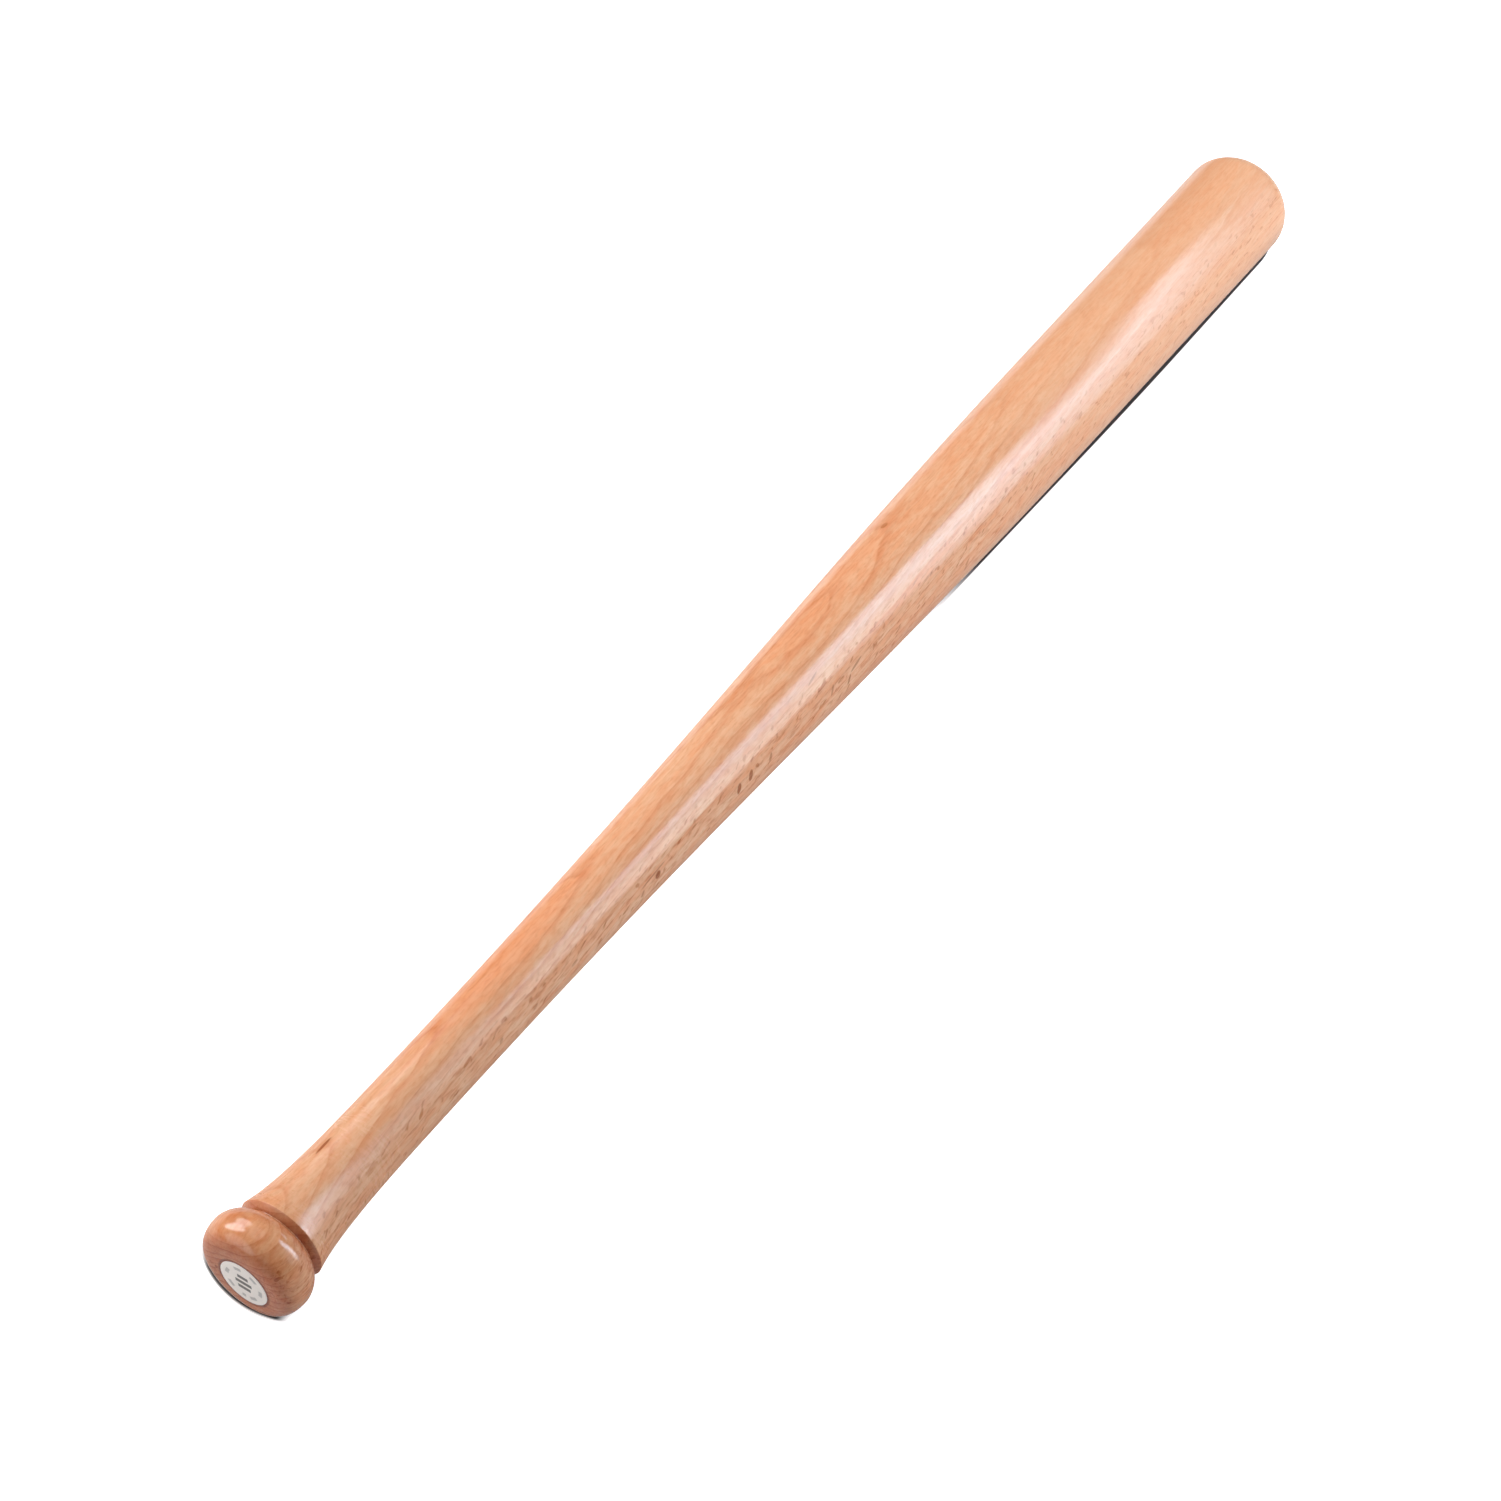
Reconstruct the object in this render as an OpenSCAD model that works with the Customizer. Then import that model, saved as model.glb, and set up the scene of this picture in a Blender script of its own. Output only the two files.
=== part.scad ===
// A baseball bat turned from one billet of beech, with a round paper label on the end of its knob.
// The bat lies along +X with its knob at the origin. Sizes are in millimetres.

/* [Overall] */
// Length of the wood, from the flat end of the knob to the tip of the barrel
bat_length = 740; // [680:5:860]

/* [Label] */
// Diameter of the round paper label
label_d = 20; // [16:0.5:24]
// Thickness of the label's paper
label_thickness = 0.15; // [0.1:0.05:0.3]
// Width of the bare ring of flat wood round a label stuck on dead centre
label_margin = 3; // [1:0.25:4]
// Share of that ring's width by which the label was stuck on off the knob's centre
label_drift = 0.4; // [0:0.05:0.9]
// Direction in which the label sits off centre, in degrees from +Y towards +Z
label_drift_angle = 221; // [0:1:359]

/* [Knob] */
// Largest diameter of the knob
knob_d = 41.8; // [38:0.2:46]
// Length of the knob's rounded front, from its flat end to its largest diameter
knob_front = 9.6; // [7:0.2:12]
// Length of the knob's rounded back, from its largest diameter to the groove
knob_back = 8.4; // [6:0.2:11]
// Fullness of the knob's front, where 0.55 is a quarter of an ellipse and more is squarer
knob_front_fullness = 0.66; // [0.45:0.01:0.8]
// Fullness of the knob's back
knob_back_fullness = 0.45; // [0.3:0.01:0.7]

/* [Groove] */
// Diameter at the bottom of the groove
groove_d = 30; // [28:0.5:32]
// Width of the groove's flat bottom
groove_floor = 0.6; // [0.3:0.1:1.2]
// Length of the slope from the groove's bottom up to the rim of the flare
groove_slope = 2.2; // [1.4:0.1:3.5]

/* [Flare] */
// Diameter of the flare's rim
rim_d = 34.8; // [33.6:0.2:37]
// Distance that the rim's edge is rounded back on each side
rim_rounding = 0.4; // [0.2:0.1:0.8]
// Length of the flare, from its rim to the slimmest place on the handle
flare_length = 71; // [55:1:95]
// Angle between the flare and the bat's axis at the rim, in degrees
flare_angle = 14.5; // [10:0.5:20]
// Share of the flare's length that keeps the rim's angle
flare_rim_ease = 0.21; // [0.1:0.01:0.3]
// Share of the flare's length that keeps the handle's direction
flare_handle_ease = 0.36; // [0.2:0.01:0.5]

/* [Handle] */
// Diameter of the handle at its slimmest place
handle_d = 27; // [24:0.2:30]
// Share of the long taper that keeps the handle's direction
taper_handle_ease = 0.4; // [0.25:0.01:0.5]
// Share of the long taper that keeps the barrel's direction
taper_barrel_ease = 0.4; // [0.25:0.01:0.5]

/* [Barrel] */
// Length of the barrel, with its rounded end
barrel_length = 190; // [150:5:240]
// Diameter of the barrel where the long taper ends
barrel_start_d = 48.4; // [46:0.2:50]
// Largest diameter of the barrel, where its rounded end starts
barrel_d = 51.4; // [50.2:0.2:60]

/* [Rounded end] */
// Length of the barrel's rounded end
tip_length = 15.6; // [10:0.2:26]
// Fullness of the rounded end next to the barrel's side
tip_side_fullness = 0.58; // [0.45:0.01:0.75]
// Fullness of the rounded end next to its crown
tip_crown_fullness = 0.68; // [0.45:0.01:0.75]

/* [Hidden] */
$fn = 96;

// Points along each curve of the turned outline
edge_steps = 4;
round_steps = 16;
flare_steps = 20;
taper_steps = 40;

// Radii
label_r = label_d / 2;
flat_r = label_r + label_margin;
knob_r = knob_d / 2;
groove_r = groove_d / 2;
rim_r = rim_d / 2;
handle_r = handle_d / 2;
barrel_start_r = barrel_start_d / 2;
barrel_r = barrel_d / 2;

// Stations along the axis, measured from the flat end of the wood
groove_x = knob_front + knob_back;
slope_x = groove_x + groove_floor;
rim_x = slope_x + groove_slope;
handle_x = rim_x + flare_length;
barrel_x = bat_length - barrel_length;
tip_x = bat_length - tip_length;
taper_length = barrel_x - handle_x;

// Directions of the outline and of the label's drift, as unit vectors
flare_dir = [cos(flare_angle), -sin(flare_angle)];
slope_dir = unit([groove_slope, rim_r - groove_r]);
barrel_dir = unit([tip_x - barrel_x, barrel_r - barrel_start_r]);
along = [1, 0];
label_drift_dir = [0, cos(label_drift_angle), sin(label_drift_angle)];

function unit(v) = v / norm(v);

// A smooth curve from a to b, without the point a itself: it leaves a towards a_pull and
// comes into b from b_pull
function curve(a, a_pull, b_pull, b, steps) = [
    for (i = [1 : steps])
        let (t = i / steps, s = 1 - t)
            s * s * s * a + 3 * s * s * t * a_pull + 3 * s * t * t * b_pull + t * t * t * b
];

// A round-over from a to b inside the corner between them. Fullness says how far it fills the corner.
function round_over(a, corner, b, a_fullness, b_fullness) =
    curve(a, a + a_fullness * (corner - a), b + b_fullness * (corner - b), b, round_steps);

// The knob: a flat end, a full round front and a softer back that dives into the groove
function knob_outline() = let (
    flat_edge = [0, flat_r],
    belly = [knob_front, knob_r],
    groove_edge = [groove_x, groove_r]
) concat(
    [[0, 0], flat_edge],
    round_over(flat_edge, [0, knob_r], belly, knob_front_fullness, knob_front_fullness),
    round_over(belly, [groove_x, knob_r], groove_edge, knob_back_fullness, knob_back_fullness)
);

// The groove's floor and slope, the eased rim and the flare down to the slimmest place
function flare_outline() = let (
    rim = [rim_x, rim_r],
    rim_in = rim - rim_rounding * slope_dir,
    rim_out = rim + rim_rounding * flare_dir,
    slimmest = [handle_x, handle_r]
) concat(
    [[slope_x, groove_r], rim_in],
    curve(rim_in, rim, rim, rim_out, edge_steps),
    curve(
        rim_out, rim_out + flare_rim_ease * flare_length * flare_dir,
        slimmest - flare_handle_ease * flare_length * along, slimmest, flare_steps
    )
);

// The long taper from the handle to the barrel
function taper_outline() = let (
    slimmest = [handle_x, handle_r],
    barrel_start = [barrel_x, barrel_start_r]
) curve(
    slimmest, slimmest + taper_handle_ease * taper_length * along,
    barrel_start - taper_barrel_ease * taper_length * barrel_dir, barrel_start, taper_steps
);

// The barrel and its rounded end
function barrel_outline() = let (
    side_end = [tip_x, barrel_r],
    corner = side_end + tip_length * barrel_dir / barrel_dir.x,
    crown = [bat_length, 0]
) concat(
    [side_end],
    round_over(side_end, corner, crown, tip_side_fullness, tip_crown_fullness)
);

// Turns an outline of [along the axis, radius] points round the X axis
module turned(outline) {
    rotate([0, 90, 0])
        rotate_extrude()
            polygon([for (p = outline) [p.y, p.x]]);
}

module bat_body() {
    color("#D08E5E")
        translate([label_thickness, 0, 0])
            turned(concat(knob_outline(), flare_outline(), taper_outline(), barrel_outline()));
}

module knob_label() {
    color("#EFECE6")
        translate(label_drift * label_margin * label_drift_dir)
            rotate([0, 90, 0])
                cylinder(h = label_thickness, r = label_r);
}

bat_body();
knob_label();
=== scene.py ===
"""A baseball bat turned from one billet of beech and lacquered, with a round paper label on its knob.

The bat lies along +X with its knob at the origin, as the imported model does. Sizes are in metres.
"""

import math

import bmesh
import bpy
from mathutils import Matrix, Vector, noise


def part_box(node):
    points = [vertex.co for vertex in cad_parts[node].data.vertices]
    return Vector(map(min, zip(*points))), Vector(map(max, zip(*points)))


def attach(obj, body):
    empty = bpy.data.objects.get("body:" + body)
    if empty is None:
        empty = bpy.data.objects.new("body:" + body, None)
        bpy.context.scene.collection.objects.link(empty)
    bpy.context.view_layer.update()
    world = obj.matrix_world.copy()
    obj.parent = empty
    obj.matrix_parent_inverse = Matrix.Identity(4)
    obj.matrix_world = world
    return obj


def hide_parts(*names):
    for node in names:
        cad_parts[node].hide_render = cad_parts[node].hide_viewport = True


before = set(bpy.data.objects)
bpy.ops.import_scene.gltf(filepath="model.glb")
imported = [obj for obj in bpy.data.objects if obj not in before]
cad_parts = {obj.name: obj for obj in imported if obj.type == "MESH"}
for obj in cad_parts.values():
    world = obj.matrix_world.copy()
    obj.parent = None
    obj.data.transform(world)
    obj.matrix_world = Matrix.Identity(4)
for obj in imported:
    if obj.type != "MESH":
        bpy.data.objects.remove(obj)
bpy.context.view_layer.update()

low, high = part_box("bat_body")
bat_middle = (low + high) / 2

MM = 0.001

# ---------------------------------------------------------------- sizes of the turned outline
bat_length = 740 * MM
label_d = 20 * MM
label_thickness = 0.15 * MM
label_margin = 3 * MM
label_drift = 0.4
label_drift_angle = math.radians(221)
knob_d = 41.8 * MM
knob_front = 9.6 * MM
knob_back = 8.4 * MM
knob_front_fullness = 0.66
knob_back_fullness = 0.45
groove_d = 30 * MM
groove_floor = 0.6 * MM
groove_slope = 2.2 * MM
rim_d = 34.8 * MM
rim_rounding = 0.4 * MM
flare_length = 71 * MM
flare_angle = math.radians(14.5)
flare_rim_ease = 0.21
flare_handle_ease = 0.36
handle_d = 27 * MM
taper_handle_ease = 0.4
taper_barrel_ease = 0.4
barrel_length = 190 * MM
barrel_start_d = 48.4 * MM
barrel_d = 51.4 * MM
tip_length = 15.6 * MM
tip_side_fullness = 0.58
tip_crown_fullness = 0.68

# Places along the axis, measured from the flat end of the wood
groove_x = knob_front + knob_back
slope_x = groove_x + groove_floor
rim_x = slope_x + groove_slope
handle_x = rim_x + flare_length
barrel_x = bat_length - barrel_length
tip_x = bat_length - tip_length

# How finely the wood is turned and the label is cut
turn_steps = 144
edge_steps = 6
knob_steps = 28
flare_steps = 48
taper_steps = 110
barrel_steps = 50
tip_steps = 32
label_steps = 96
wood_crease = math.radians(32)
paper_crease = math.radians(60)
touching = 0.0001 * MM

# The lathe's small unevenness: how deep it is, and how far from one rise to the next
hand_turned_wobble = 0.03 * MM
hand_turned_reach = 38 * MM


# ---------------------------------------------------------------- the outline of the turned wood
def point(along, radius):
    """A point of the outline: how far along the axis, and how far from it."""
    return Vector((along, radius))


def curve(start, start_pull, end_pull, end, steps):
    """A smooth curve from start to end, without start itself."""
    points = []
    for step in range(1, steps + 1):
        t = step / steps
        s = 1 - t
        near_start = s * s * s * start + 3 * s * s * t * start_pull
        near_end = 3 * s * t * t * end_pull + t * t * t * end
        points.append(near_start + near_end)
    return points


def round_over(start, corner, end, start_fullness, end_fullness, steps):
    """A rounded corner. Fullness says how far each half of it fills the corner."""
    start_pull = start + start_fullness * (corner - start)
    end_pull = end + end_fullness * (corner - end)
    return curve(start, start_pull, end_pull, end, steps)


def straight(start, end, steps):
    """Even steps along a straight line, without start itself."""
    return [start.lerp(end, step / steps) for step in range(1, steps + 1)]


def knob_outline():
    """The flat end, the full round front and the softer back that dives into the groove."""
    centre = point(0, 0)
    flat_edge = point(0, label_d / 2 + label_margin)
    belly = point(knob_front, knob_d / 2)
    groove_edge = point(groove_x, groove_d / 2)
    front_corner = point(0, knob_d / 2)
    back_corner = point(groove_x, knob_d / 2)
    front, back = knob_front_fullness, knob_back_fullness
    outline = [centre] + straight(centre, flat_edge, edge_steps)
    outline += round_over(flat_edge, front_corner, belly, front, front, knob_steps)
    outline += round_over(belly, back_corner, groove_edge, back, back, knob_steps)
    return outline


def flare_outline():
    """The groove's floor and slope, the eased rim and the flare down to the slimmest place."""
    slope_foot = point(slope_x, groove_d / 2)
    rim = point(rim_x, rim_d / 2)
    slimmest = point(handle_x, handle_d / 2)
    slope_way = (rim - slope_foot).normalized()
    flare_way = point(math.cos(flare_angle), -math.sin(flare_angle))
    rim_in = rim - rim_rounding * slope_way
    rim_out = rim + rim_rounding * flare_way
    rim_pull = rim_out + flare_rim_ease * flare_length * flare_way
    handle_pull = slimmest - point(flare_handle_ease * flare_length, 0)
    outline = [slope_foot] + straight(slope_foot, rim_in, edge_steps)
    outline += curve(rim_in, rim, rim, rim_out, edge_steps)
    outline += curve(rim_out, rim_pull, handle_pull, slimmest, flare_steps)
    return outline


def barrel_way():
    """The direction of the barrel's side, which still widens a little."""
    start = point(barrel_x, barrel_start_d / 2)
    return (point(tip_x, barrel_d / 2) - start).normalized()


def taper_outline():
    """The long taper from the handle to the barrel."""
    slimmest = point(handle_x, handle_d / 2)
    barrel_start = point(barrel_x, barrel_start_d / 2)
    taper_length = barrel_x - handle_x
    handle_pull = slimmest + point(taper_handle_ease * taper_length, 0)
    barrel_pull = barrel_start - taper_barrel_ease * taper_length * barrel_way()
    return curve(slimmest, handle_pull, barrel_pull, barrel_start, taper_steps)


def barrel_outline():
    """The barrel's side and its rounded end."""
    barrel_start = point(barrel_x, barrel_start_d / 2)
    side_end = point(tip_x, barrel_d / 2)
    corner = side_end + tip_length * barrel_way() / barrel_way().x
    crown = point(bat_length, 0)
    outline = straight(barrel_start, side_end, barrel_steps)
    outline += round_over(side_end, corner, crown, tip_side_fullness, tip_crown_fullness, tip_steps)
    return outline


# ---------------------------------------------------------------- making pieces
def piece_from(mesh_in_work, name):
    """Makes an object from a finished bmesh."""
    mesh = bpy.data.meshes.new(name)
    mesh_in_work.to_mesh(mesh)
    mesh_in_work.free()
    made = bpy.data.objects.new(name, mesh)
    bpy.context.scene.collection.objects.link(made)
    return made


def ease_edges(work, sharpest):
    """Shades the faces smooth, and leaves a crease where they meet at a sharper angle than this."""
    for face in work.faces:
        face.smooth = True
    for edge in work.edges:
        edge.smooth = edge.calc_face_angle(0) < sharpest


def turn_wood():
    """Spins the outline round the bat's axis, as on a lathe."""
    outline = knob_outline() + flare_outline() + taper_outline() + barrel_outline()
    work = bmesh.new()
    profile = [work.verts.new((p.x + label_thickness, p.y, 0)) for p in outline]
    for near, far in zip(profile, profile[1:]):
        work.edges.new((near, far))
    bmesh.ops.spin(
        work, geom=work.verts[:] + work.edges[:], cent=(0, 0, 0), axis=(1, 0, 0), dvec=(0, 0, 0),
        angle=2 * math.pi, steps=turn_steps, use_merge=True, use_normal_flip=False, use_duplicate=False,
    )
    bmesh.ops.remove_doubles(work, verts=work.verts[:], dist=touching)
    bmesh.ops.recalc_face_normals(work, faces=work.faces[:])
    for vert in work.verts:
        away = Vector((0, vert.co.y, vert.co.z))
        if away.length > label_d / 2 and vert.co.x > knob_front:
            uneven = noise.noise(vert.co / hand_turned_reach)
            vert.co += away.normalized() * (uneven * hand_turned_wobble)
    ease_edges(work, wood_crease)
    return piece_from(work, "turned_beech")


def label_off_centre():
    """How far the label was stuck on off the axis: sideways and up."""
    off = label_drift * label_margin
    return off * math.cos(label_drift_angle), off * math.sin(label_drift_angle)


def cut_label():
    """A round paper label with a softly pressed edge, lying on the knob's flat end."""
    work = bmesh.new()
    facing = Matrix.Rotation(math.radians(-90), 4, "Y")
    across, up = label_off_centre()
    back = Matrix.Translation((label_thickness, across, up)) @ facing
    bmesh.ops.create_circle(
        work, cap_ends=True, segments=label_steps, radius=label_d / 2, matrix=back,
    )
    raised = bmesh.ops.extrude_face_region(work, geom=work.faces[:], use_keep_orig=True)
    front = [item for item in raised["geom"] if isinstance(item, bmesh.types.BMVert)]
    bmesh.ops.translate(work, verts=front, vec=(-label_thickness, 0, 0))
    pressed = [e for e in work.edges if all(v.co.x < label_thickness / 2 for v in e.verts)]
    bmesh.ops.bevel(
        work, geom=pressed, offset=label_thickness * 0.6, segments=3, profile=0.5, affect="EDGES",
        material=-1,
    )
    bmesh.ops.recalc_face_normals(work, faces=work.faces[:])
    ease_edges(work, paper_crease)
    return piece_from(work, "paper_label")


# ---------------------------------------------------------------- shader sums
class Wire:
    """A shader socket that can be used in sums, so that 1 - mask or colour * 2 adds the nodes."""

    def __init__(self, finish, socket):
        self.finish = finish
        self.socket = socket
        self.plain = socket.type == "VALUE"

    def joined(self, operation, parts):
        """Adds a Math node, or a Vector Math node where an arrow or a colour takes part."""
        plain = all(part.plain for part in parts if isinstance(part, Wire))
        kind = "ShaderNodeMath" if plain else "ShaderNodeVectorMath"
        if not plain:
            parts = [(part,) * 3 if isinstance(part, (int, float)) else part for part in parts]
        return self.finish.wire(kind, {"operation": operation}, dict(enumerate(parts)), 0)

    def sum(self, operation, *others):
        """A sum that starts with this socket."""
        return self.joined(operation, (self,) + others)

    def swapped(self, operation, other):
        """A sum that starts with the other part."""
        return self.joined(operation, (other, self))

    def __add__(self, other):
        return self.sum("ADD", other)

    def __radd__(self, other):
        return self.swapped("ADD", other)

    def __sub__(self, other):
        return self.sum("SUBTRACT", other)

    def __rsub__(self, other):
        return self.swapped("SUBTRACT", other)

    def __mul__(self, other):
        return self.sum("MULTIPLY", other)

    def __rmul__(self, other):
        return self.swapped("MULTIPLY", other)

    def __truediv__(self, other):
        return self.sum("DIVIDE", other)

    def __pow__(self, other):
        return self.sum("POWER", other)

    def __abs__(self):
        return self.sum("ABSOLUTE")

    def part(self, letter):
        """The X, Y or Z of an arrow."""
        return self.finish.wire("ShaderNodeSeparateXYZ", {}, {"Vector": self}, letter)

    def rising(self, low, high):
        """0 below low, 1 above high, and a soft rise between them. It falls where low is the larger."""
        if low > high:
            return 1 - self.rising(high, low)
        settings = {"interpolation_type": "SMOOTHSTEP"}
        sockets = {"Value": self, "From Min": low, "From Max": high}
        return self.finish.wire("ShaderNodeMapRange", settings, sockets, "Result")


class Finish:
    """The nodes of a material, or of the world, and the links between them."""

    def __init__(self, owner):
        owner.use_nodes = True
        self.owner = owner
        self.tree = owner.node_tree
        self.tree.nodes.clear()

    def node(self, kind, settings, sockets):
        """Adds a node: its type, its settings, then the values or links of its sockets."""
        made = self.tree.nodes.new(kind)
        for name, value in settings.items():
            setattr(made, name, value)
        for name, value in sockets.items():
            if isinstance(value, Wire):
                self.tree.links.new(value.socket, made.inputs[name])
            else:
                made.inputs[name].default_value = value
        return made

    def wire(self, kind, settings, sockets, output):
        """Adds a node and gives one of its outputs."""
        return Wire(self, self.node(kind, settings, sockets).outputs[output])

    def place(self):
        """Where a point lies on the bat, in millimetres."""
        return self.wire("ShaderNodeTexCoord", {}, {}, "Object") * (1000, 1000, 1000)

    def arrow(self, x, y, z):
        """Three numbers as one arrow."""
        return self.wire("ShaderNodeCombineXYZ", {}, {"X": x, "Y": y, "Z": z}, "Vector")

    def cloudy(self, where, detail=2, roughness=0.5):
        """Soft noise between 0 and 1, about one unit across."""
        sockets = {"Vector": where, "Scale": 1, "Detail": detail, "Roughness": roughness}
        return self.wire("ShaderNodeTexNoise", {}, sockets, "Fac")

    def blend(self, factor, under, over, kind="MIX"):
        """One colour over another."""
        settings = {"data_type": "RGBA", "blend_type": kind}
        return self.wire("ShaderNodeMix", settings, {0: factor, 6: under, 7: over}, 2)

    def tint(self, factor, under, stain):
        """A colour multiplied in, as a stain goes over wood."""
        return self.blend(factor, under, stain, "MULTIPLY")

    def bump(self, height, depth):
        """Light catching on a relief: its height from 0 to 1, and how deep that is in metres."""
        sockets = {"Strength": 1, "Distance": depth, "Height": height}
        return self.wire("ShaderNodeBump", {}, sockets, "Normal")

    def surface(self, shader_sockets):
        """The finished surface."""
        shader = self.wire("ShaderNodeBsdfPrincipled", {}, shader_sockets, "BSDF")
        self.node("ShaderNodeOutputMaterial", {}, {"Surface": shader})
        return self.owner


def colour(red, green, blue):
    """A colour, as parts of the light that it gives back."""
    return (red, green, blue, 1)


def strongest(masks):
    """The strongest of several masks at each point."""
    most = masks[0]
    for mask in masks[1:]:
        most = most.sum("MAXIMUM", mask)
    return most


def from_label(place):
    """Where a point lies on the label: sideways, up and out from its centre, in millimetres."""
    across, up = label_off_centre()
    y = place.part("Y") - across / MM
    z = place.part("Z") - up / MM
    return y, z, (y * y + z * z) ** 0.5


# ---------------------------------------------------------------- lacquered beech
# The billet, in millimetres: how far and on which side of the axis the tree's pith was, how much the
# grain leaves the axis, and how far apart the growth rings are
pith_distance = 64.0
pith_side = math.radians(20)
grain_slope = -0.050
ring_width = 2.9

# Small natural marks: place along the bat and angle round it from the top, then length, width,
# lean from the grain and how dark. Lengths in millimetres, angles in degrees. Nearly all the places
# and angles were worked out by another program from points picked in the photograph, then rounded.
natural_marks = (
    (52, -22, 8.5, 1.3, 4, 0.9),
    (128, 76, 2.6, 1.5, 30, 0.5),
    (148, 80, 3.0, 1.4, 20, 0.45),
    (172, 77, 4.0, 1.3, 10, 0.4),
    (214, 82, 3.0, 1.3, 40, 0.55),
    (224, 77, 3.6, 2.6, 35, 0.95),
    (222, 70, 15, 0.8, 5, 0.6),
    (277, 75, 4.4, 2.2, 52, 0.95),
    (285, 73, 4.6, 2.2, 52, 0.9),
    (298, 76, 3.6, 1.6, 52, 0.6),
    (335, 41, 7.5, 0.9, 12, 0.5),
    (341, 72, 4.6, 1.2, 52, 0.6),
    (352, 80, 4.6, 1.3, 50, 0.75),
    (358, 70, 8.5, 1.1, 14, 0.7),
    (422, -23, 4.0, 2.6, 0, 0.4),
)

# Zones of redder wood, in the same terms: place, angle, length, width and how strong
redder_lenses = (
    (150, -14, 160, 13, 0.35),
    (120, -24, 90, 8, 0.3),
    (378, -21, 105, 11, 0.3),
    (470, -28, 70, 10, 0.2),
)


def redder_zones(x, angle, radius, wander, waver, flecks):
    """Lens-shaped zones of redder wood, where the outline has cut just into the next ring."""
    lenses = []
    for along, round_at, length, width, strong in redder_lenses:
        down = (x - along + wander * 30) / (length / 2)
        side = (angle - math.radians(round_at) + waver * 0.12) * radius / (width / 2)
        ragged = (flecks - 0.5) * 0.8
        lenses.append((abs(down) ** 2 + abs(side) + ragged).rising(1.15, 0.5) * strong)
    return strongest(lenses)


def marked_spots(x, angle, radius, waver):
    """Natural marks where a ray or a pin knot meets the surface."""
    spots = []
    for along, round_at, length, width, lean, dark in natural_marks:
        off_x = x - along
        off_y = (angle - math.radians(round_at)) * radius
        lean_cos = math.cos(math.radians(lean))
        lean_sin = math.sin(math.radians(lean))
        down = (off_x * lean_cos - off_y * lean_sin) / (length / 2)
        side = (off_x * lean_sin + off_y * lean_cos) / (width / 2)
        spots.append((down * down + side * side + waver * 0.4).rising(1.4, 0.6) * dark)
    return strongest(spots)


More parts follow.
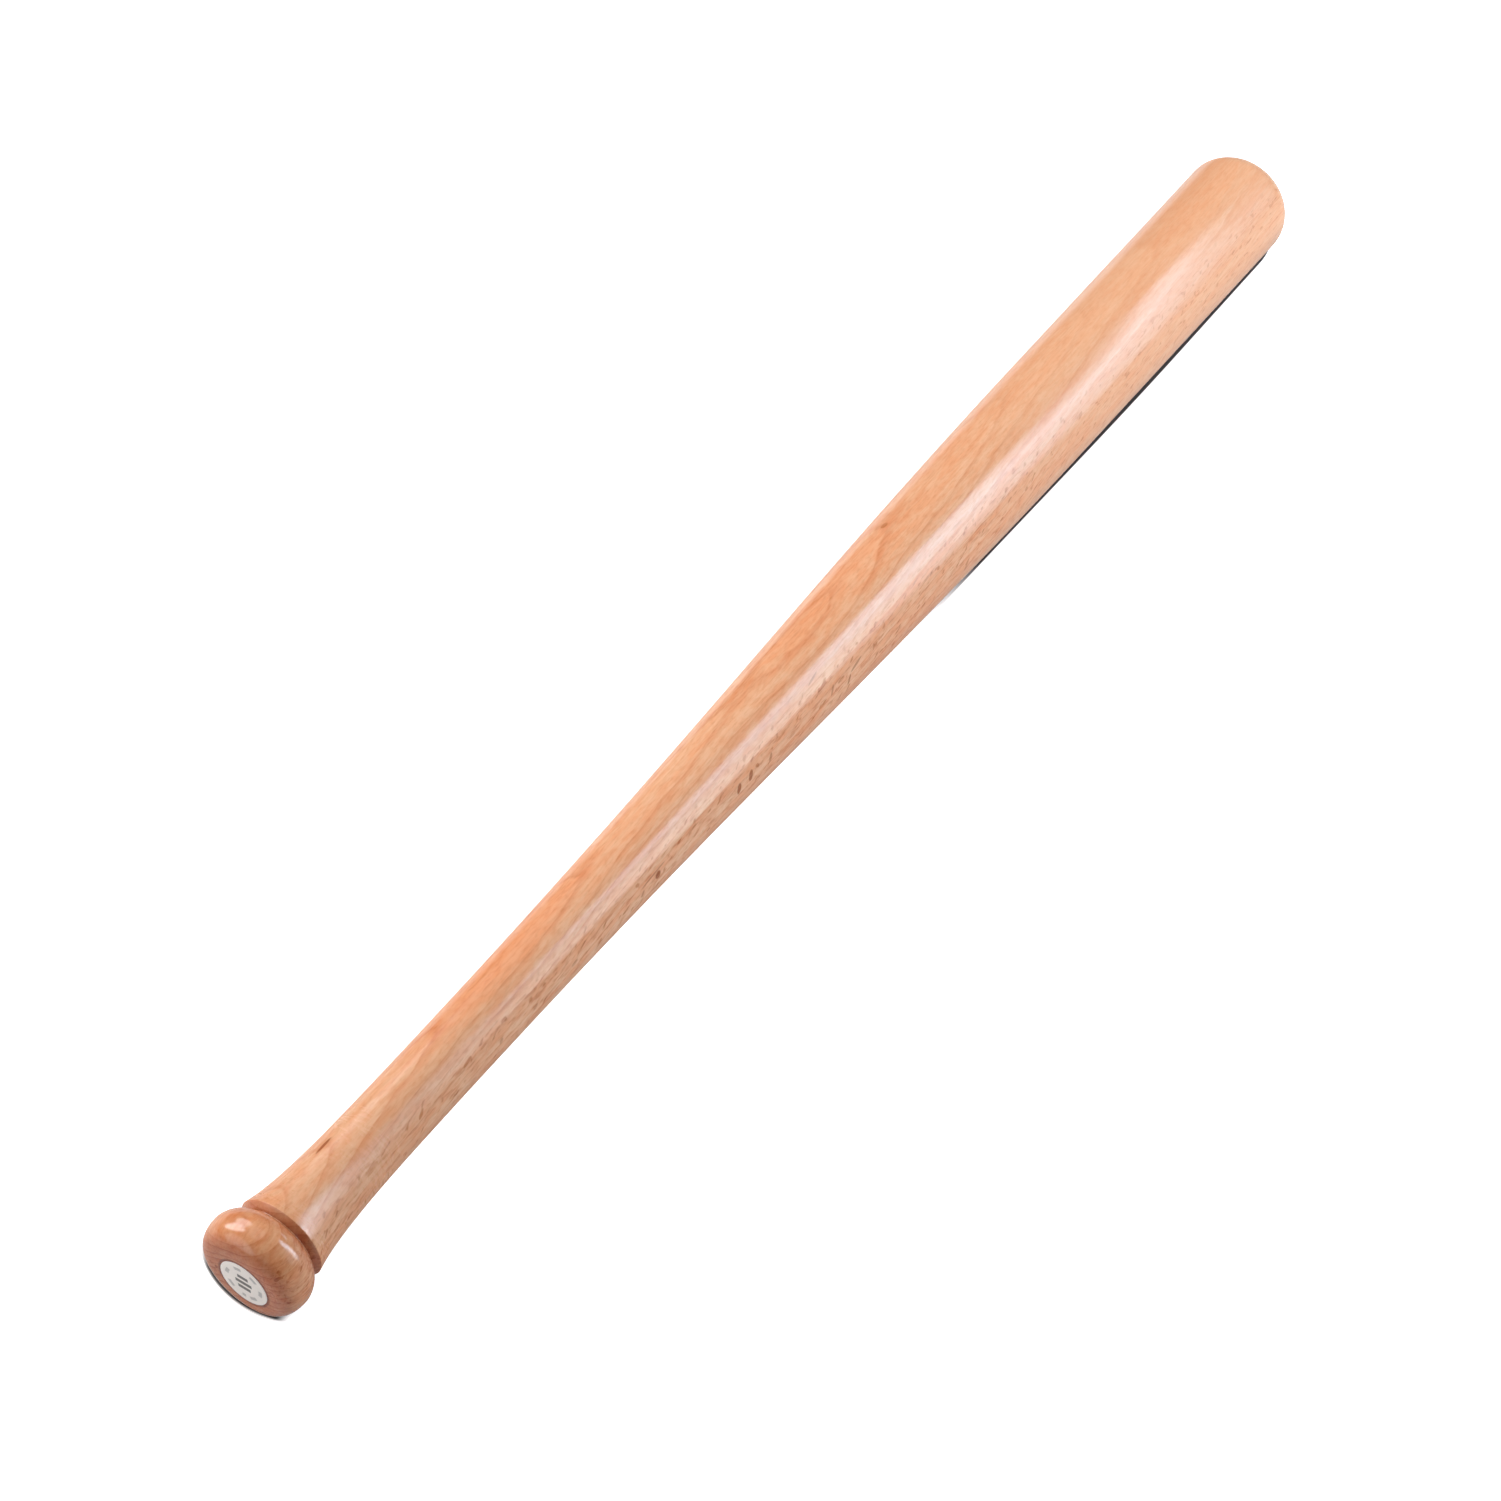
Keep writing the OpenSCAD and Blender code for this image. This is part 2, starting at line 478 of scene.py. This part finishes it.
def lacquered_beech():
    """Growth rings, rays and pores through the whole billet, so that every cut shows its own grain."""
    wood = Finish(bpy.data.materials.new("lacquered_beech"))
    place = wood.place()
    x = place.part("X")
    y = place.part("Y")
    z = place.part("Z")
    radius = (y * y + z * z) ** 0.5

    # The billet's own directions: out from the pith, and along the rings
    wander = wood.cloudy(wood.arrow(x / 110, y / 40, z / 40), detail=1) - 0.5
    waver = wood.cloudy(wood.arrow(x / 16, y / 7, z / 7), detail=1) - 0.5
    outward = y * math.sin(pith_side) + z * math.cos(pith_side) + x * grain_slope + wander * 6
    outward = outward + waver * 0.9
    across = y * math.cos(pith_side) - z * math.sin(pith_side)
    depth = ((outward + pith_distance) ** 2 + across ** 2) ** 0.5
    turn = across / (outward + pith_distance) * pith_distance + waver * 0.5

    # Growth rings, each with its own shade and a soft dark line where it ends
    unsteady = wood.cloudy(wood.arrow(x / 300, depth / 6, 0.3), detail=1)
    count = depth / ring_width + unsteady * 1.8
    ring_place = count.sum("FRACT")
    ring_shade = wood.wire("ShaderNodeTexWhiteNoise", {"noise_dimensions": "1D"},
                           {"W": count.sum("FLOOR")}, "Value")
    late_wood = ring_place ** 6 * ring_place.rising(1.0, 0.93)

    # Fibres, short flecks and patches of warmer wood, all drawn out along the grain
    fibres = wood.cloudy(wood.arrow(x / 22, turn / 0.8, depth / 0.8), detail=3, roughness=0.6)
    flecks = wood.cloudy(wood.arrow(x / 3.6, turn / 0.9, depth / 0.9), detail=3, roughness=0.6)
    mottle = wood.cloudy(wood.arrow(x / 9, turn / 2.4, depth / 2.4), detail=2)
    patches = wood.cloudy(wood.arrow(x / 60, turn / 12, depth / 8), detail=2)

    pale = colour(0.900, 0.520, 0.315)
    ruddy = colour(0.860, 0.365, 0.175)
    orange = colour(0.880, 0.300, 0.125)
    calm = 1 - x.rising(420, 600) * 0.45  # the barrel's grain is quieter than the handle's
    warm = patches.rising(0.35, 0.65) * 0.30 + mottle.rising(0.35, 0.65) * 0.40 + ring_shade * 0.35
    body = wood.blend(warm * calm + (1 - calm) * 0.4, pale, ruddy)

    angle = (y * -1).sum("ARCTAN2", z)
    lenses = redder_zones(x, angle, radius, wander, waver, flecks)
    body = wood.blend(lenses * (0.5 + flecks * 0.6), body, orange)

    # The rings' dark lines, then fibres and flecks over them
    body = wood.tint(late_wood * calm * calm, body, colour(0.84, 0.66, 0.56))
    body = wood.tint(fibres.rising(0.42, 0.68) * calm * 0.38, body, colour(0.84, 0.70, 0.60))
    body = wood.tint(flecks.rising(0.45, 0.68) * calm * 0.38, body, colour(0.80, 0.62, 0.48))

    # Rays: thin sheets that run out from the pith, so they show as short brown flecks on the sides
    side_face = abs(across / radius).rising(0.82, 0.97)
    dashes = wood.cloudy(wood.arrow(x / 7 - depth / 12, turn, depth / 1.3), detail=2, roughness=0.6)
    dash = dashes.rising(0.52, 0.66)
    body = wood.tint(dash * (0.10 + side_face * 0.50) * calm, body, colour(0.72, 0.49, 0.33))
    blots = wood.cloudy(wood.arrow(x / 4.2 - depth / 3.5, turn / 3, depth / 2.6), detail=1)
    blot = blots.rising(0.63, 0.72) * side_face * calm
    body = wood.tint(blot * 0.8, body, colour(0.66, 0.42, 0.25))

    marks = marked_spots(x, angle, radius, waver)
    body = wood.tint(marks, body, colour(0.48, 0.27, 0.14))

    # Hands have browned the handle
    body = wood.tint(x.rising(190, 45) * 0.4, body, colour(0.88, 0.84, 0.78))

    # End grain drinks more lacquer and comes out darker, most of all round the knob
    facing = wood.wire("ShaderNodeTexCoord", {}, {}, "Normal").part("X")
    end_grain = abs(facing).rising(0.15, 0.95)
    flat_end = abs(facing).rising(0.80, 0.99)
    body = wood.tint(late_wood * flat_end * 0.9, body, colour(0.78, 0.60, 0.50))
    knob_end = x.rising(30, 12)
    stained = end_grain * (0.20 + knob_end * 0.65)
    body = wood.tint(stained, body, colour(0.66, 0.45, 0.37))
    body = wood.tint(knob_end * 0.6, body, colour(0.92, 0.79, 0.68))
    cloud = wood.cloudy(wood.arrow(x / 5, turn / 4, depth / 2), detail=3)
    body = wood.tint(knob_end * cloud.rising(0.40, 0.65) * 0.45, body, colour(0.80, 0.62, 0.50))

    # A darker line round the label, and painted shade down in the groove
    label_edge = label_d / 2 / MM
    groove_at = groove_x / MM + 0.2
    groove_r = groove_d / 2 / MM
    round_label = from_label(place)[2].rising(label_edge + 1.5, label_edge + 0.5) * x.rising(0.6, 0.3)
    # Painted shade: the groove's floor is darkened where shade falls
    groove_painted_shade = abs(x - groove_at).rising(1.1, 0.2) * radius.rising(groove_r + 1.2, groove_r + 0.2)
    label_line_and_groove_shade = strongest([round_label * 0.9, groove_painted_shade * 0.35])
    body = wood.tint(label_line_and_groove_shade, body, colour(0.40, 0.25, 0.19))

    # Lathe and sanding marks run round the wood, and the grain stands very slightly proud
    lathe = wood.cloudy(wood.arrow(x / 1.3, y / 5, z / 5), detail=2, roughness=0.65)
    worked = wood.cloudy(wood.arrow(x / 40, y / 16, z / 16), detail=1).rising(0.30, 0.60)
    rougher = x.rising(420, 280) * 0.6 + 0.4
    scratched = lathe.rising(0.40, 0.62) * worked * rougher
    swell = wood.cloudy(wood.arrow(x / 9, turn / 1.9, depth / 1.9), detail=2)
    relief = swell * 0.5 + flecks * 0.25 - dash * 0.1 - marks * 0.8
    near_rim = x.rising(21, 24) * x.rising(85, 40)
    dull = 0.16 + near_rim * 0.08 + swell * 0.04 + scratched * 0.06 + flecks * 0.04 - knob_end * 0.06
    return wood.surface({
        "Base Color": body,
        "Roughness": dull,
        "Normal": wood.bump(relief, 0.03 * MM),
        "IOR": 1.5,
    })


# ---------------------------------------------------------------- label paper
# Plain print, in millimetres: the ring of dashes, then each bar's height and half its length
print_ring_r = 7.2
print_ring_waves = 6.5
print_bars = ((3.1, 2.2), (0.2, 3.4), (-2.7, 2.6))


def label_paper():
    """Off-white paper with a plain printed ring and bars, dulled by lacquer and handling."""
    paper = Finish(bpy.data.materials.new("label_paper"))
    place = paper.place()
    y, z, radius = from_label(place)
    angle = y.sum("ARCTAN2", z)
    fibre = paper.cloudy(place * (2, 2, 2), detail=4, roughness=0.7)
    stain = paper.cloudy(place * (0.22, 0.22, 0.22), detail=3)
    white = colour(0.99, 0.90, 0.84)
    grey = colour(0.93, 0.86, 0.80)
    inside = radius.rising(9.0, 8.4)
    sheet = paper.blend(inside * (0.55 + stain.rising(0.35, 0.65) * 0.45), white, grey)

    dashes = (angle * print_ring_waves).sum("SINE").rising(-0.2, 0.5)
    ring = abs(radius - print_ring_r).rising(0.95, 0.60) * dashes
    bars = []
    for level, half_length in print_bars:
        bars.append(abs(z - level).rising(1.0, 0.75) * abs(y).rising(half_length + 0.2, half_length))
    sheet = paper.tint(ring * 0.6, sheet, colour(0.30, 0.31, 0.33))
    sheet = paper.tint(strongest(bars) * 0.9, sheet, colour(0.10, 0.09, 0.09))
    sheet = paper.tint(fibre * 0.2, sheet, colour(0.8, 0.8, 0.8))
    return paper.surface({
        "Base Color": sheet,
        "Roughness": 0.35 + fibre * 0.1,
        "Normal": paper.bump(fibre, 0.01 * MM),
        "IOR": 1.5,
    })


# ---------------------------------------------------------------- studio
floor_reach = 6

# The painted shadow close under the bat, in millimetres. Under the knob it is part of a circle, and under
# the barrel a strip with a round end.
knob_shadow_x = 45.7
knob_shadow_y = 4
knob_shadow_r = 44
barrel_shadow_end = 726
barrel_shadow_half_width = 13.6
barrel_shadow_widening = 3.4


def floor_plane():
    """A pale floor that touches the bat under its knob and under its barrel."""
    knob_at = knob_front + label_thickness
    barrel_at = tip_x + label_thickness
    lean = math.asin((barrel_d - knob_d) / 2 / (barrel_at - knob_at))
    work = bmesh.new()
    bmesh.ops.create_grid(work, x_segments=2, y_segments=2, size=floor_reach)
    down = knob_d / 2 - knob_at * math.sin(lean)
    settle = Matrix.Rotation(lean, 4, "Y") @ Matrix.Translation((0, 0, -down))
    bmesh.ops.transform(work, matrix=settle, verts=work.verts[:])
    floor = piece_from(work, "studio_floor")
    return floor


def floor_paint(bounce, glow):
    """A pale floor that looks white to the camera, with a near-black shadow painted close under the bat.
    """
    paint = Finish(bpy.data.materials.new("studio_floor"))
    seen = paint.wire("ShaderNodeLightPath", {}, {}, "Is Camera Ray")
    place = paint.place()
    x = place.part("X")
    y = place.part("Y")

    # Painted shadow: part of a circle under the knob and a strip under the barrel
    from_centre = ((x - knob_shadow_x) ** 2 + (y - knob_shadow_y) ** 2) ** 0.5
    crescent = from_centre.rising(knob_shadow_r + 0.8, knob_shadow_r - 0.8)
    painted_shadow_under_knob = crescent * x.rising(20, 14) * y.rising(-14, -8) * y.rising(36, 24)
    past_end = (x - barrel_shadow_end).sum("MAXIMUM", 0) * 0.55  # so the end is longer than a half circle
    from_line = (past_end ** 2 + y ** 2) ** 0.5 - x.rising(390, 640) * barrel_shadow_widening
    strip = from_line.rising(barrel_shadow_half_width + 0.4, barrel_shadow_half_width - 0.4)
    painted_shadow_under_barrel = strip * x.rising(410, 470) * x.rising(760, 736) * y.rising(16, 0)
    clear = 1 - strongest([painted_shadow_under_knob, painted_shadow_under_barrel])

    # Painted shadow: the floor is near black inside it, and pale with a glow outside it
    pale = paint.blend(clear, colour(0.07, 0.07, 0.07), colour(0.95, 0.95, 0.95))
    grey = paint.blend(seen, colour(bounce, bounce, bounce), pale)
    matt = paint.wire("ShaderNodeBsdfDiffuse", {}, {"Color": grey}, "BSDF")
    light = paint.wire("ShaderNodeEmission", {}, {"Strength": seen * clear * glow}, "Emission")
    both = paint.wire("ShaderNodeAddShader", {}, {0: matt, 1: light}, "Shader")
    paint.node("ShaderNodeOutputMaterial", {}, {"Surface": both})
    return paint.owner


def direction(turn, height):
    """Which way lies a heading, in degrees from +X towards +Y, and a height above the horizon."""
    level = math.cos(math.radians(height))
    x = level * math.cos(math.radians(turn))
    y = level * math.sin(math.radians(turn))
    return Vector((x, y, math.sin(math.radians(height))))


def soft_lamp(name, turn, height, distance, wide, tall, glow, tilt=0, along=0, shape="ELLIPSE",
              shade=(1, 1, 1)):
    """A soft panel that faces the bat's middle, or a place further along it.

    Glow is how bright the panel looks, and tilt turns it in its own plane.
    """
    data = bpy.data.lights.new(name, "AREA")
    data.shape = shape
    data.size = wide
    data.size_y = tall
    part = math.pi / 4 if shape == "ELLIPSE" else 1
    data.energy = glow * math.pi * wide * tall * part
    data.color = shade
    lamp = bpy.data.objects.new(name, data)
    way = direction(turn, height)
    stand = Matrix.Translation(bat_middle + Vector((along, 0, 0)) + way * distance)
    turned = way.to_track_quat("Z", "Y").to_matrix().to_4x4()
    lamp.matrix_world = stand @ turned @ Matrix.Rotation(math.radians(tilt), 4, "Z")
    lamp.visible_camera = False
    bpy.context.scene.collection.objects.link(lamp)


def pale_room(strength):
    """Even light from all round, and white where the camera looks past the floor."""
    world = bpy.data.worlds.new("pale_room")
    bpy.context.scene.world = world
    room = Finish(world)
    seen = room.wire("ShaderNodeLightPath", {}, {}, "Is Camera Ray")
    level = seen * (1 - strength) + strength
    sockets = {"Color": colour(1, 1, 1), "Strength": level}
    back = room.wire("ShaderNodeBackground", {}, sockets, "Background")
    room.node("ShaderNodeOutputWorld", {}, {"Surface": back})


def camera(aim, turn, tilt, distance, lens):
    """A camera that looks at aim from a distance, turned from the bat's length and tilted down."""
    data = bpy.data.cameras.new("camera")
    data.lens = lens
    data.sensor_width = 36
    data.clip_start = 0.05
    data.clip_end = 60
    made = bpy.data.objects.new("camera", data)
    made.location = Vector(aim) - direction(turn, -tilt) * distance
    made.rotation_euler = (math.radians(90 - tilt), 0, math.radians(turn - 90))
    bpy.context.scene.collection.objects.link(made)
    bpy.context.scene.camera = made


# ---------------------------------------------------------------- the bat
wood_piece = turn_wood()
wood_piece.data.materials.append(lacquered_beech())
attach(wood_piece, "root")
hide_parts("bat_body")

label_piece = cut_label()
label_piece.data.materials.append(label_paper())
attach(label_piece, "root")
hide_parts("knob_label")

# ---------------------------------------------------------------- light and view
floor_plane().data.materials.append(floor_paint(bounce=0.7, glow=0.9))
pale_room(strength=0.03)

# Cool window light along the near side, in panels that grow brighter upwards
daylight = (0.63, 0.81, 1.0)
soft_lamp("right_panel_low", turn=-46, height=6, distance=3.0, wide=0.66, tall=0.65, glow=4.8,
          tilt=-15, shape="RECTANGLE", shade=daylight)
soft_lamp("right_panel_middle", turn=-43, height=18, distance=3.0, wide=0.66, tall=0.65, glow=6.8,
          tilt=-15, shape="RECTANGLE", shade=daylight)
soft_lamp("right_panel_high", turn=-40, height=27, distance=3.0, wide=0.66, tall=0.33, glow=8.3,
          tilt=-15, shape="RECTANGLE", shade=daylight)
soft_lamp("right_panel_side", turn=-49, height=27, distance=3.0, wide=1.3, tall=0.40, glow=2.6,
          tilt=-15, shape="RECTANGLE", shade=daylight)
soft_lamp("right_softbox_top", turn=-44, height=38, distance=3.0, wide=1.1, tall=0.9, glow=9.6,
          shade=daylight)
soft_lamp("barrel_reflector", turn=-27, height=35, distance=0.45, wide=0.20, tall=0.06, glow=8.5,
          tilt=35, along=0.221, shade=daylight)

# White light from the far side and above, and on the knob's end
soft_lamp("left_softbox", turn=95, height=38, distance=3.0, wide=1.0, tall=2.4, glow=8.0)
soft_lamp("knob_reflector", turn=150, height=28, distance=3.0, wide=3.2, tall=2.6, glow=1.6)
soft_lamp("end_fill", turn=176, height=16, distance=1.5, wide=2.4, tall=1.6, glow=0.3)
soft_lamp("overhead_lamp", turn=92, height=45, distance=1.0, wide=0.4, tall=0.6, glow=5.3, along=0.03)
soft_lamp("ceiling_lamp", turn=90, height=80, distance=1.5, wide=1.0, tall=0.8, glow=1.1)

# Fill for the barrel's near side and its tip
soft_lamp("barrel_fill", turn=-90, height=22, distance=1.0, wide=0.7, tall=0.6, glow=1.5, along=0.23)
soft_lamp("tip_fill", turn=-80, height=20, distance=0.9, wide=0.5, tall=0.5, glow=4.5, along=0.37)

camera(aim=(0.3000, -0.0061, 0), turn=33.463, tilt=45.988, distance=1.17586, lens=71.95)
bpy.context.scene.view_settings.view_transform = "Standard"
